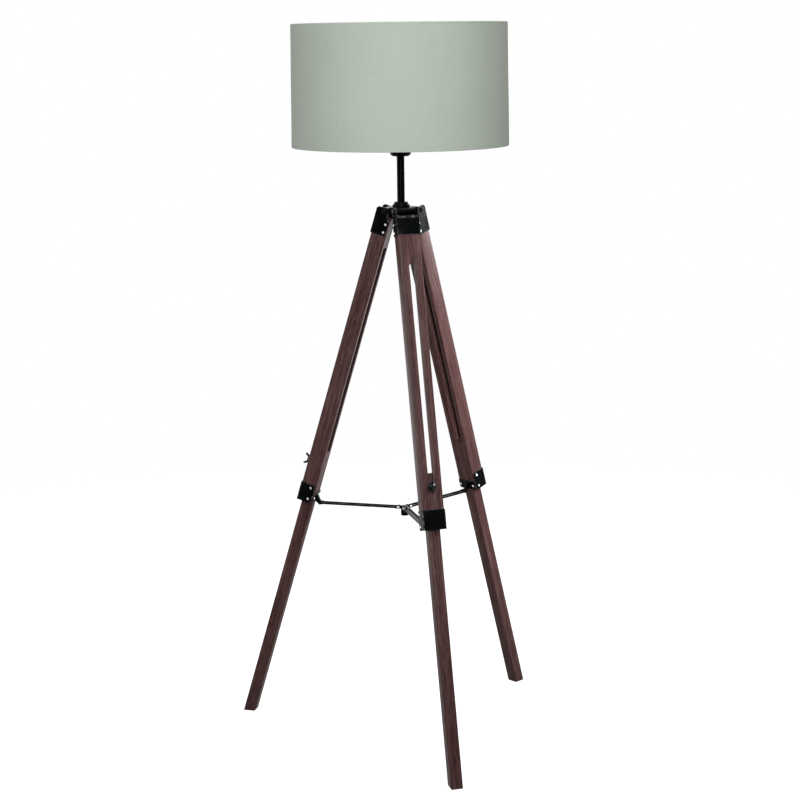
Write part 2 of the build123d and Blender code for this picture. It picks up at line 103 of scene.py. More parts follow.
# ---- sizes that several parts share ----
CABLE_BORE = 0.0051             # the cable's way through stem, plate and lampholder
STEM_THREAD = 0.001             # pitch of the nipple's and the clamp studs' thread
THREAD_DEPTH = 0.0004
NIPPLE_BORE = 0.0036
SHELL_NECK_BORE = 0.0186        # inside of the clamp ring and the shade's fitter
FITTER_T = 0.002
SPOKE_R = 0.002
BOLT_SHANK_R = 0.003
NUT_CORNER_R = 0.0058

# ---- camera ----
CAMERA_DISTANCE = 3.7219        # from the lamp's axis, level
CAMERA_HEIGHT = 1.4772
CAMERA_AZIMUTH = math.radians(15.228)
CAMERA_YAW = math.radians(0.111)
CAMERA_PITCH = math.radians(11.401)
CAMERA_ROLL = math.radians(-0.70)
CAMERA_LENS = 80.19


# ---------------------------------------------------------------- places and points
def matrix_of(x, y, z, origin):
    """Place with these axes and this origin."""
    place = Matrix((x, y, z)).transposed().to_4x4()
    place.translation = origin
    return place


def leg_place(leg):
    """Place of a leg's own coordinates, from its fold axis and its slide."""
    fold = JOINTS[f"leg_{leg}_fold"]
    x = -Vector(fold["axis"])
    z = Vector(JOINTS[f"leg_{leg}_length"]["axis"])
    return matrix_of(x, z.cross(x), z, fold["pos_m"])


def radial_place(leg):
    """Place of the radial coordinates that point to a leg."""
    y = Vector(JOINTS[f"leg_{leg}_fold"]["pos_m"])
    y.z = 0
    y.normalize()
    z = Vector((0, 0, 1))
    return matrix_of(y.cross(z), y, z, (0, 0, 0))


def points_of(name, place=None):
    """Vertices of a CAD node, in this place's coordinates."""
    mesh = NODES[name].data
    flat = np.empty(len(mesh.vertices) * 3)
    mesh.vertices.foreach_get("co", flat)
    points = flat.reshape(-1, 3)
    if place is None:
        return points
    inverse = np.array(place.inverted())
    return points @ inverse[:3, :3].T + inverse[:3, 3]


def span(name):
    """Radius, bottom and top of a CAD node that is round about the lamp's axis."""
    points = points_of(name)
    radius = np.hypot(points[:, 0], points[:, 1]).max()
    return radius, points[:, 2].min(), points[:, 2].max()


def rim_radius(name, top):
    """Largest radius of a CAD node at its top or bottom edge."""
    points = points_of(name)
    height = points[:, 2].max() if top else points[:, 2].min()
    edge = points[abs(points[:, 2] - height) < HAIR]
    return np.hypot(edge[:, 0], edge[:, 1]).max()


def loose_parts(name):
    """Each separate solid of a CAD node, as its vertices."""
    bm = bmesh.new()
    bm.from_mesh(NODES[name].data)
    bmesh.ops.remove_doubles(bm, verts=bm.verts, dist=WELD)
    seen = set()
    parts = []
    for start in bm.verts:
        if start in seen:
            continue
        stack = [start]
        seen.add(start)
        part = []
        while stack:
            vert = stack.pop()
            part.append(vert.co[:])
            for edge in vert.link_edges:
                other = edge.other_vert(vert)
                if other not in seen:
                    seen.add(other)
                    stack.append(other)
        parts.append(np.array(part))
    bm.free()
    return parts


def fastener_places(name, bolts=()):
    """For each solid of a node of fasteners, its place with Z along its axis and out of the head,
    its origin on the axis at the head's end, and its length. A nut takes the axis of the nearest
    of these bolts' places."""
    found = []
    for part in loose_parts(name):
        middle = part.mean(0)
        axis = np.linalg.svd(part - middle, full_matrices=False)[2][0]
        if bolts:
            near = min(bolts, key=lambda bolt: abs((bolt.inverted() @ Vector(middle)).xy.length))
            axis = -np.array(near.col[2][:3])
        along = (part - middle) @ axis
        across = np.linalg.norm(part - middle - np.outer(along, axis), axis=1)
        if not bolts and across[along > 0].max() < across[along < 0].max() - HAIR:
            axis = -axis
            along = -along
        z = Vector(axis).normalized()
        x = z.orthogonal().normalized()
        top = Vector(middle) + z * along.max()
        found.append((matrix_of(x, z.cross(x), z, top), along.max() - along.min()))
    return found


# ---------------------------------------------------------------- mesh building
def rounded(points, steps=4):
    """Profile with the corners that have a third number rounded by it."""
    line = []
    for index, point in enumerate(points):
        here = np.array(point[:2], float)
        if len(point) < 3:
            line.append(here)
            continue
        before = np.array(points[index - 1][:2], float) - here
        after = np.array(points[(index + 1) % len(points)][:2], float) - here
        start = here + before / np.linalg.norm(before) * point[2]
        end = here + after / np.linalg.norm(after) * point[2]
        for t in np.linspace(0, 1, steps + 1):
            line.append((1 - t) ** 2 * start + 2 * t * (1 - t) * here + t * t * end)
    return np.array(line)


def thickened(line, thickness):
    """Closed profile of a sheet whose middle follows this line."""
    ahead = np.gradient(line, axis=0)
    ahead /= np.linalg.norm(ahead, axis=1)[:, None]
    side = np.stack([ahead[:, 1], -ahead[:, 0]], axis=1) * thickness / 2
    return np.concatenate([line + side, (line - side)[::-1]])


def spin(profile, warp=None, angles=TURN, closed=True):
    """Points and faces of a profile spun round Z; warp changes its radii, angles and heights."""
    profile = np.asarray(profile, float)
    radius, angle = np.meshgrid(profile[:, 0], angles, indexing="ij")
    height = np.meshgrid(profile[:, 1], angles, indexing="ij")[0]
    if warp:
        radius, angle, height = warp(radius, angle, height)
    ring = np.stack([radius * np.cos(angle), radius * np.sin(angle), height], axis=-1)
    rows, columns = len(profile), len(angles)
    faces = []
    for row in range(rows if closed else rows - 1):
        a, b = row * columns, (row + 1) % rows * columns
        for k in range(columns):
            n = (k + 1) % columns
            faces.append((a + k, a + n, b + n, b + k))
    return ring.reshape(-1, 3), faces


def moved(shape, place):
    """The shape carried from this place's coordinates to those that the place is in."""
    points, faces = shape
    matrix = np.array(place)
    return points @ matrix[:3, :3].T + matrix[:3, 3], faces


def tube_along(line, radius, sides=20):
    """Round bar along a line of points, its ends closed."""
    line = np.asarray(line, float)
    ahead = np.gradient(line, axis=0)
    up = np.array((0.0, 0.0, 1.0))
    rings = []
    for point, way in zip(line, ahead):
        way = way / np.linalg.norm(way)
        side = np.cross(way, up)
        side /= np.linalg.norm(side)
        rise = np.cross(side, way)
        for angle in np.linspace(0, 2 * math.pi, sides, endpoint=False):
            rings.append(point + radius * (math.cos(angle) * side + math.sin(angle) * rise))
    faces = []
    for row in range(len(line) - 1):
        for k in range(sides):
            n = (k + 1) % sides
            a, b = row * sides, (row + 1) * sides
            faces.append((a + k, a + n, b + n, b + k))
    last = (len(line) - 1) * sides
    faces.append(tuple(range(sides)))
    faces.append(tuple(range(last, last + sides)))
    return np.array(rings), faces


def bm_of(*shapes):
    """Clean bmesh of several (points, faces) shapes."""
    bm = bmesh.new()
    for points, faces in shapes:
        verts = [bm.verts.new(point) for point in points]
        for face in faces:
            bm.faces.new([verts[index] for index in face])
    bmesh.ops.remove_doubles(bm, verts=bm.verts, dist=WELD)
    bmesh.ops.recalc_face_normals(bm, faces=bm.faces)
    return bm


def cad_bm(name, place):
    """Bmesh of a CAD node in this place's coordinates, welded, its flat faces whole."""
    bm = bmesh.new()
    bm.from_mesh(NODES[name].data)
    bm.transform(place.inverted())
    bmesh.ops.remove_doubles(bm, verts=bm.verts, dist=WELD)
    bmesh.ops.dissolve_limit(bm, angle_limit=FLAT, verts=bm.verts, edges=bm.edges)
    return bm


def round_edges(bm, radius, picked, steps=3):
    """Rounds the sharp edges whose middle and length are picked, and marks the rounded faces for
    the edge colour: rubbed wear, on black metal partly a painted highlight.
    """
    edge_wear_and_highlight = bm.faces.layers.float.get("edge_wear_and_highlight") or bm.faces.layers.float.new("edge_wear_and_highlight")
    edges = []
    for edge in bm.edges:
        if len(edge.link_faces) == 2 and edge.calc_face_angle() > CREASE:
            if picked((edge.verts[0].co + edge.verts[1].co) / 2, edge.calc_length()):
                edges.append(edge)
    made = bmesh.ops.bevel(
        bm, geom=edges, offset=radius, offset_type="OFFSET", segments=steps, profile=0.5,
        affect="EDGES", clamp_overlap=False)
    for face in made["faces"]:
        face[edge_wear_and_highlight] = 1.0


def cast(bm, voxel, smoothing):
    """The bmesh's solid with every edge softened, as a casting has it."""
    mesh = bpy.data.meshes.new("casting")
    bm.to_mesh(mesh)
    bm.free()
    solid = bpy.data.objects.new("casting", mesh)
    bpy.context.scene.collection.objects.link(solid)
    remesh = solid.modifiers.new("remesh", "REMESH")
    remesh.mode = "VOXEL"
    remesh.voxel_size = voxel
    smooth = solid.modifiers.new("smooth", "SMOOTH")
    smooth.iterations = smoothing
    graph = bpy.context.evaluated_depsgraph_get()
    result = bmesh.new()
    result.from_mesh(solid.evaluated_get(graph).to_mesh())
    bpy.data.objects.remove(solid)
    bpy.data.meshes.remove(mesh)
    return result


def show(name, bm, place=Matrix(), offset=None):
    """The bmesh, in this place's coordinates, as the detailed piece that stands for a CAD node. An
    offset gives its vertices a grain attribute, the point of the uncut timber that each is at."""
    mesh = bpy.data.meshes.new(f"{name}_detail")
    bm.to_mesh(mesh)
    bm.free()
    if offset is not None:
        points = np.empty(len(mesh.vertices) * 3, np.float32)
        mesh.vertices.foreach_get("co", points)
        shift = np.tile(offset, len(mesh.vertices)).astype(np.float32)
        grain = mesh.attributes.new("grain", "FLOAT_VECTOR", "POINT")
        grain.data.foreach_set("vector", points + shift)
    mesh.transform(place)
    mesh.shade_smooth()
    mesh.set_sharp_from_angle(angle=CREASE)
    slot = NODES[name].data.materials[0].name
    mesh.materials.append(MATERIALS[slot])
    piece = bpy.data.objects.new(f"{name}_detail", mesh)
    bpy.context.scene.collection.objects.link(piece)
    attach(piece, NODES[name]["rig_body"])
    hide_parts(name)
    return piece


# ---------------------------------------------------------------- shader helpers
def shader(name, **sockets):
    """New material, its node tree and its Principled node with these plain values."""
    material = bpy.data.materials.new(f"{name}_look")
    material.use_nodes = True
    tree = material.node_tree
    surface = tree.nodes["Principled BSDF"]
    for key, value in sockets.items():
        surface.inputs[key.replace("_", " ")].default_value = value
    return material, tree, surface


def node(tree, kind, inputs=(), **properties):
    """New shader node; an input given as a socket is linked, and any other value is set."""
    made = tree.nodes.new(f"ShaderNode{kind}")
    for key, value in properties.items():
        setattr(made, key, value)
    for key, value in dict(inputs).items():
        if isinstance(value, bpy.types.NodeSocket):
            tree.links.new(value, made.inputs[key])
        else:
            made.inputs[key].default_value = value
    return made


def calc(tree, operation, *values):
    """Result of a Math node on these sockets or numbers."""
    return node(tree, "Math", enumerate(values), operation=operation).outputs[0]


def object_point(tree):
    """Position in the piece's own coordinates, in metres."""
    return node(tree, "TexCoord").outputs["Object"]


def scaled(tree, point, *scale):
    """The point with each coordinate scaled."""
    return node(tree, "VectorMath", {0: point, 1: scale}, operation="MULTIPLY").outputs[0]


def noise(tree, point, scale=1.0, detail=2.0, roughness=0.5):
    """Noise from about 0 to 1, at this many grains a metre."""
    inputs = {"Vector": point, "Scale": scale, "Detail": detail, "Roughness": roughness}
    return node(tree, "TexNoise", inputs).outputs[0]


def between(tree, value, low, high, bottom=0.0, top=1.0):
    """The value's share of the way from low to high, clamped, carried to bottom and top."""
    inputs = {0: value, 1: low, 2: high, 3: bottom, 4: top}
    return node(tree, "MapRange", inputs, interpolation_type="SMOOTHSTEP").outputs[0]


def ramp(tree, value, *stops):
    """Colour ramp through (place, colour) stops."""
    made = node(tree, "ValToRGB", {0: value})
    elements = made.color_ramp.elements
    while len(elements) < len(stops):
        elements.new(0.5)
    for element, (place, colour) in zip(elements, stops):
        element.position = place
        element.color = (*colour, 1.0)
    return made.outputs[0]


def mixed(tree, share, one, other):
    """One colour turning into the other as share goes from 0 to 1."""
    inputs = {0: share, 6: one, 7: other}
    for key in (6, 7):
        if not isinstance(inputs[key], bpy.types.NodeSocket):
            inputs[key] = (*inputs[key], 1.0)
    return node(tree, "Mix", inputs, data_type="RGBA").outputs[2]


def bump(tree, height, distance, strength=1.0):
    """Normal bumped by a height from 0 to 1 that stands for this many metres."""
    inputs = {"Height": height, "Distance": distance, "Strength": strength}
    return node(tree, "Bump", inputs).outputs[0]


def join(tree, surface, **sockets):
    """Links these results to the Principled node."""
    for key, value in sockets.items():
        tree.links.new(value, surface.inputs[key.replace("_", " ")])


# ---------------------------------------------------------------- materials
def dark_wood():
    """Open-grained wood under a dark red-brown stain, its grain along the piece's Z."""
    material, tree, surface = shader("dark_wood", Specular_IOR_Level=0.11)
    point = node(tree, "Attribute", attribute_name="grain").outputs["Vector"]
    drift = node(tree, "TexNoise", {"Vector": scaled(tree, point, 5, 5, 2.2), "Detail": 1.0})
    sway = node(tree, "VectorMath", {0: drift.outputs[1], 1: (0.012, 0.012, 0.0)},
                operation="MULTIPLY").outputs[0]
    point = node(tree, "VectorMath", {0: point, 1: sway}).outputs[0]
    fibre = noise(tree, scaled(tree, point, 1100, 1100, 22), 1, 3, 0.6)
    streak = noise(tree, scaled(tree, point, 330, 330, 5), 1, 4, 0.62)
    band = noise(tree, scaled(tree, point, 75, 75, 1.3), 1, 2, 0.5)
    pore = between(tree, noise(tree, scaled(tree, point, 1700, 1700, 60), 1, 1), 0.60, 0.70)
    tone = calc(tree, "MULTIPLY_ADD", streak, 0.45, calc(tree, "MULTIPLY", fibre, 0.38))
    tone = calc(tree, "MULTIPLY_ADD", band, 0.17, tone)
    colour = ramp(tree, tone, (0.36, (0.018, 0.0073, 0.0070)), (0.47, (0.043, 0.0194, 0.0190)),
                  (0.56, (0.070, 0.0360, 0.0350)), (0.66, (0.107, 0.0635, 0.0610)))
    colour = mixed(tree, calc(tree, "MULTIPLY", pore, 0.75), colour, (0.012, 0.005, 0.005))
    edge_wear_and_highlight = node(tree, "Attribute", attribute_name="edge_wear_and_highlight").outputs["Fac"]
    rub = between(tree, noise(tree, point, 60, 3), 0.42, 0.62, 0.1, 0.75)
    colour = mixed(tree, calc(tree, "MULTIPLY", edge_wear_and_highlight, rub), colour, (0.030, 0.013, 0.012))
    relief = calc(tree, "SUBTRACT", calc(tree, "MULTIPLY", fibre, 0.5), pore)
    join(tree, surface, Base_Color=colour, Roughness=between(tree, tone, 0.35, 0.65, 0.29, 0.42),
         Normal=bump(tree, relief, 0.00007, 0.5))
    return material


def painted(name, colour, shine, grain, depth, dust, edge):
    """Powder-coated or enamelled metal: orange peel of grain bumps a metre, depth metres high, a
    little dust, and rubbed edges in the colour edge: partly real wear and, where edge is pale as
    on black metal, partly a painted highlight along the rounded edges. shine is the specular level."""
    material, tree, surface = shader(name, Specular_IOR_Level=shine)
    point = object_point(tree)
    peel = noise(tree, point, grain, 3, 0.55)
    cloud = noise(tree, point, 38, 4, 0.6)
    speck = between(tree, noise(tree, point, 2600, 1), 0.68, 0.78)
    edge_wear_and_highlight = node(tree, "Attribute", attribute_name="edge_wear_and_highlight").outputs["Fac"]
    # mask of the rounded edges: rubbed paint, and on black metal partly a painted highlight
    rub = calc(tree, "MULTIPLY", edge_wear_and_highlight, between(tree, noise(tree, point, 210, 3), 0.40, 0.62))
    haze = [channel * 1.5 + dust for channel in colour]
    surface_colour = mixed(tree, between(tree, cloud, 0.35, 0.75, 0.0, 0.5), colour, haze)
    surface_colour = mixed(tree, calc(tree, "MULTIPLY", speck, 0.35), surface_colour,
                           [channel + 2.5 * dust for channel in colour])
    # edge colour over the mask: real wear, and where it is pale a painted highlight on the edges
    surface_colour = mixed(tree, calc(tree, "MULTIPLY", rub, 0.8), surface_colour, edge)
    join(tree, surface, Base_Color=surface_colour,
         Roughness=between(tree, cloud, 0.3, 0.7, 0.20, 0.30),
         Normal=bump(tree, peel, depth, 0.5))
    return material


def bare_metal(name, colour, low, high, scratch):
    """Plated metal: brushed in scratches this deep, cloudy, its roughness from low to high, with
    duller spots."""
    material, tree, surface = shader(name, Metallic=1.0)
    point = object_point(tree)
    lines = noise(tree, scaled(tree, point, 300, 5200, 5200), 1, 2)
    cloud = noise(tree, point, 160, 4, 0.6)
    dull = [channel * 0.62 for channel in colour]
    shade = mixed(tree, between(tree, cloud, 0.4, 0.7), colour, dull)
    join(tree, surface, Base_Color=shade,
         Roughness=between(tree, calc(tree, "MULTIPLY", calc(tree, "ADD", lines, cloud), 0.5),
                           0.35, 0.65, low, high),
         Normal=bump(tree, lines, scratch, 0.4))
    return material


def woven():
    """Plain weave round the drum, with thicker slubs along and across, and a soft sheen."""
    material, tree, surface = shader(
        "shade_fabric", Sheen_Weight=0.12, Sheen_Roughness=0.5, Specular_IOR_Level=0.2)
    point = object_point(tree)
    parts = node(tree, "SeparateXYZ", {0: point}).outputs
    angle = calc(tree, "ARCTAN2", parts[1], parts[0])
    threads_round, pitch, radius = 2600, 0.00054, 0.223
    across = calc(tree, "MULTIPLY", angle, threads_round / 2)
    up = calc(tree, "MULTIPLY", parts[2], math.pi / pitch)
    weave = calc(tree, "MULTIPLY", calc(tree, "SINE", across), calc(tree, "SINE", up))
    weave = calc(tree, "MULTIPLY_ADD", weave, 0.5, 0.5)
    unrolled = node(tree, "CombineXYZ", {0: calc(tree, "MULTIPLY", angle, radius), 1: parts[2]})
    unrolled = unrolled.outputs[0]
    slub_up = noise(tree, scaled(tree, unrolled, 900, 14, 1), 1, 2)
    slub_across = noise(tree, scaled(tree, unrolled, 14, 900, 1), 1, 2)
    slub = calc(tree, "MULTIPLY", calc(tree, "ADD", slub_up, slub_across), 0.5)
    cloud = noise(tree, point, 7, 2)
    tone = calc(tree, "MULTIPLY_ADD", weave, 0.22, calc(tree, "MULTIPLY", slub, 0.6))
    tone = calc(tree, "MULTIPLY_ADD", cloud, 0.18, tone)
    colour = ramp(tree, tone, (0.30, (0.345, 0.392, 0.335)), (0.52, (0.405, 0.455, 0.392)),
                  (0.74, (0.465, 0.515, 0.448)))
    relief = calc(tree, "MULTIPLY_ADD", slub, 0.6, calc(tree, "MULTIPLY", weave, 0.4))
    join(tree, surface, Base_Color=colour, Roughness=between(tree, slub, 0.3, 0.7, 0.82, 0.94),
         Normal=bump(tree, relief, 0.00012, 0.5))
    return material


def moulded(name, colour, low, high, coat, mottle):
    """Moulded or glazed material: a fine skin, its roughness from low to high, and the colour
    faintly mottled towards itself times mottle."""
    material, tree, surface = shader(name, Coat_Weight=coat, Coat_Roughness=0.15)
    point = object_point(tree)
    cloud = noise(tree, point, 55, 4, 0.6)
    skin = noise(tree, point, 1500, 2)
    other = [channel * mottle for channel in colour]
    join(tree, surface, Base_Color=mixed(tree, between(tree, cloud, 0.3, 0.7), colour, other),
         Roughness=between(tree, skin, 0.3, 0.7, low, high),
         Normal=bump(tree, skin, 0.00003, 0.5))
    return material


def all_materials():
    """The material of each of the record's slots."""
    return {
        "dark_wood": dark_wood(),
        # its pale edge colour is rubbed paint and partly a painted highlight along the bevels
        "black_metal": painted(
            "black_metal", (0.0010, 0.0014, 0.0015), 0.06, 1400, 0.00003, 0.0012,
            (0.11, 0.118, 0.113)),
        "black_fastener": painted(
            "black_fastener", (0.002, 0.0023, 0.0026), 0.28, 2200, 0.00001, 0.003,
            (0.06, 0.062, 0.06)),
        "white_wire": painted(
            "white_wire", (0.70, 0.69, 0.66), 0.5, 900, 0.00003, 0.0, (0.70, 0.69, 0.66)),
        "zinc_steel": bare_metal("zinc_steel", (0.72, 0.72, 0.70), 0.24, 0.42, 0.00001),
        "brass": bare_metal("brass", (0.74, 0.55, 0.27), 0.22, 0.4, 0.00001),
        "shade_fabric": woven(),
        "shade_liner": moulded("shade_liner", (0.80, 0.79, 0.75), 0.5, 0.65, 0.0, 0.95),
        "black_plastic": moulded("black_plastic", (0.012, 0.012, 0.0125), 0.3, 0.45, 0.1, 1.5),
        "ceramic": moulded("ceramic", (0.80, 0.78, 0.72), 0.15, 0.25, 0.5, 0.93),
    }


MATERIALS = all_materials()


# ---------------------------------------------------------------- wooden parts
def board(name, leg, arrises, offset, foot=False):
    """A leg's CAD board as a clean bar with rounded edges; arrises are (radius, picked) pairs."""
    place = leg_place(leg)
    points = points_of(name, place)
    low, high = points.min(0), points.max(0)
    bm = bmesh.new()
    bmesh.ops.create_cube(bm, size=1)
    for vert in bm.verts:
        vert.co = [(low, high)[vert.co[k] > 0][k] for k in range(3)]
        if foot and vert.co.z < (low[2] + high[2]) / 2:
            floor_row = place[2]
            vert.co.z = -(floor_row[3] + floor_row[1] * vert.co.y) / floor_row[2]
    for radius, picked in arrises:
        round_edges(bm, radius, picked)
    show(name, bm, place, offset)


def upper_leg(leg):
    """Two rails, the filler between them and the slotted web, cut from one length of wood."""
    offset = RNG.uniform(-3, 3, 3)
    for side in ("left", "right"):
        name = f"leg_{leg}_rail_{side}"
        points = points_of(name, leg_place(leg))
        outer = abs(points[:, 0]).max()
        inner = abs(points[:, 0]).min()
        back = points[:, 1].min()
        board(name, leg, (
            (ARRIS, lambda at, length: abs(at.x) > outer - HAIR and length > LONG_EDGE),
            (CHANNEL_ARRIS, lambda at, length: (
                abs(at.x) < inner + HAIR and at.y < back + HAIR and length > LONG_EDGE)),
        ), offset)
    board(f"leg_{leg}_top_block", leg, (), offset)
    place = leg_place(leg)
    name = f"leg_{leg}_web"
    points = points_of(name, place)
    half = abs(points[:, 0]).max()
    web = cad_bm(name, place)
    low, high = points[:, 2].min(), points[:, 2].max()
    round_edges(web, SLOT_ARRIS, lambda at, length: (
        abs(at.x) < half - 0.002 and low + HAIR < at.z < high - HAIR), 2)
    show(name, web, place, offset)


def lower_leg(leg):
    """Square stick, its foot cut level."""
    edges = (END_ARRIS * 2, lambda at, length: True)
    board(f"leg_{leg}_stick", leg, (edges,), RNG.uniform(-3, 3, 3), foot=True)


# ---------------------------------------------------------------- steel parts of a leg
def bent_plate(name, place, bend=None):
    """A CAD part of bent or cast steel with its edges eased and, where bend picks, bent round."""
    bm = cad_bm(name, place)
    if bend:
        round_edges(bm, BEND_R, bend, 5)
    round_edges(bm, PLATE_EDGE, lambda at, length: length > 0.0018, 2)
    show(name, bm, place)


def leg_brackets(leg):
    """The three steel brackets of a leg."""
    place = leg_place(leg)
    bent_plate(f"leg_{leg}_top_bracket", place)
    name = f"leg_{leg}_lower_bracket"
    points = points_of(name, place)
    side = points[:, 0].max()
    front = points[:, 1].max()

    def corner(at, length):
        return abs(at.x) > side - HAIR and at.y > front - HAIR and length > 0.01

    bent_plate(name, place, corner)
    bent_plate(f"leg_{leg}_spreader_bracket", place)


def cross_recess(arm, half_width, depth):
    """Warp that sinks a cross into the top of a head."""
    def warp(radius, angle, height):
        x = abs(radius * np.cos(angle))
        y = abs(radius * np.sin(angle))
        long_way = np.maximum(x, y)
        short_way = np.minimum(x, y)
        inside = np.clip((half_width - short_way) / 0.00022, 0, 1)
        inside = inside * np.clip((arm - long_way) / 0.0005, 0, 1)
        return radius, angle, height - depth * inside * (height > -depth)
    return warp


def hex_recess(half_width, depth):
    """Warp that sinks a hexagon socket into the top of a head."""
    def warp(radius, angle, height):
        sector = (angle + math.pi / 6) % (math.pi / 3) - math.pi / 6
        inside = np.clip((half_width - radius * np.cos(sector)) / 0.0003, 0, 1)
        return radius, angle, height - depth * inside * (height > -depth)
    return warp


def dome(radius, rise, rows):
    """Profile of a low dome, from its top down to its rim."""
    ball = (radius ** 2 + rise ** 2) / (2 * rise)
    out = np.linspace(0, radius, rows)
    return [(r, math.sqrt(ball ** 2 - r ** 2) - ball) for r in out]


def leg_screws(leg):
    """Round-headed wood screws with a cross recess."""
    name = f"leg_{leg}_screws"
    head_r, head_h, shank_r = 0.0029, 0.0016, 0.0017
    shapes = []
    for place, length in fastener_places(name):
        profile = dome(head_r, head_h, 26)
        profile += [(head_r - HAIR, -head_h - HAIR), (shank_r, -head_h - HAIR)]
        profile += [(shank_r, 0.003 - length), (0.0, -length)]
        turned = Matrix.Rotation(RNG.uniform(0, math.pi), 4, "Z")
        head = spin(profile, cross_recess(0.0019, 0.0005, 0.0010), FINE_TURN, closed=False)
        shapes.append(moved(head, place @ turned))
    show(name, bm_of(*shapes))


def thread(pitch, depth, low, high):
    """Warp that cuts a screw thread into radii between two heights."""
    def warp(radius, angle, height):
        phase = (height / pitch - angle / (2 * math.pi)) % 1
        inside = np.clip((height - low) / pitch, 0, 1) * np.clip((high - height) / pitch, 0, 1)
        return radius - depth * abs(2 * phase - 1) * inside, angle, height
    return warp


def clamp_stud(leg):
    """Threaded stud of the leg clamp."""
    name = f"leg_{leg}_clamp_stud"
    place, length = fastener_places(name)[0]
    radius, tip, depth = 0.003, 0.0008, 0.00055
    rows = np.arange(-length + tip, -tip, STEM_THREAD / 6)
    profile = [(0.0, 0.0), (radius - tip, 0.0)] + [(radius, z) for z in rows[::-1]]
    profile += [(radius - tip, -length), (0.0, -length)]
    cut = thread(STEM_THREAD, depth, -length + tip, -tip)
    show(name, bm_of(spin(profile, cut, FINE_TURN, closed=False)), place)


def wing_nut(leg):
    """Cast wing nut, all its edges soft."""
    name = f"leg_{leg}_wing_nut"
    place = leg_place(leg)
    show(name, cast(cad_bm(name, place), WING_VOXEL, 4), place)


def lug_pin(leg):
    """Pin with slightly domed ends in the leg's lug."""
    name = f"leg_{leg}_lug_pin"
    place, length = fastener_places(name)[0]
    profile = rounded([(0.0, 0.0), (0.002, 0.0, 0.0005), (0.002, -length, 0.0005), (0.0, -length)])
    show(name, bm_of(spin(profile, angles=FINE_TURN, closed=False)), place)


# ---------------------------------------------------------------- folding spreader
def spreader():
    """Hub, riveted pins and the three pressed arms."""
    show("spreader_hub", cast(cad_bm("spreader_hub", Matrix()), WING_VOXEL, 3))
    shapes = []
    for place, length in fastener_places("spreader_pins"):
        head_r, head_h, pin_r = 0.0032, 0.0015, 0.002
        half = dome(head_r, head_h, 8) + [(head_r, -head_h - HAIR), (pin_r, -head_h - HAIR)]
        profile = half + [(r, -length - z) for r, z in half[::-1]]
        shapes.append(moved(spin(profile, angles=FINE_TURN, closed=False), place))
    show("spreader_pins", bm_of(*shapes))
    for leg in LEGS:
        place = radial_place(leg)
        name = f"spreader_arm_{leg}"
        points = points_of(name, place)
        side, low = points[:, 0].max(), points[:, 2].min()

        def corner(at, length):
            return abs(at.x) > side - HAIR and at.z < low + HAIR and length > LONG_EDGE

        bent_plate(name, place, corner)


# ---------------------------------------------------------------- hub and stem
def turned(name, profile, warp=None, angles=TURN, closed=True):
    """Turned part about the lamp's axis."""
    show(name, bm_of(spin(profile, warp, angles, closed)))


def hex_sides(corner_r):
    """Warp that presses the outside of a turned ring of this radius to a hexagon."""
    def warp(radius, angle, height):
        sector = angle % (math.pi / 3) - math.pi / 6
        flat = corner_r * math.cos(math.pi / 6) / np.cos(sector)
        return np.minimum(radius, flat), angle, height
    return warp


def nut_profile(corner_r, bore_r, height, bottom=0.0):
    """Ring whose outer edges a hexagon's corners are chamfered by."""
    cut = corner_r * 0.12
    top = bottom + height
    return np.array([
        (bore_r, bottom), (corner_r - cut, bottom), (corner_r, bottom + cut / 2),
        (corner_r, top - cut / 2), (corner_r - cut, top), (bore_r, top)])


def hub():
    """Cast hub with the legs' pivot bolts and nuts."""
    show("hub_plate", cast(cad_bm("hub_plate", Matrix()), CAST_VOXEL, 4))
    shapes = []
    bolts = fastener_places("pivot_bolts")
    for place, length in bolts:
        head_r, head_h = 0.0055, 0.004
        profile = [(r, 0.0) for r in np.linspace(0, head_r - 0.0012, 22)]
        profile += [(head_r - 0.0004, -0.0004), (head_r, -0.0013), (head_r, -head_h)]
        profile += [(BOLT_SHANK_R, -head_h), (BOLT_SHANK_R, 0.0006 - length)]
        profile += [(BOLT_SHANK_R - 0.0006, -length)]
        profile += [(0.0, -length)]
        shapes.append(moved(spin(profile, hex_recess(0.002, 0.0022), closed=False), place))
    show("pivot_bolts", bm_of(*shapes))
    shapes = []
    for place, height in fastener_places("pivot_nuts", [place for place, _ in bolts]):
        profile = nut_profile(NUT_CORNER_R, BOLT_SHANK_R + HAIR / 4, height, -height)
        shapes.append(moved(spin(profile, hex_sides(NUT_CORNER_R)), place))
    show("pivot_nuts", bm_of(*shapes))


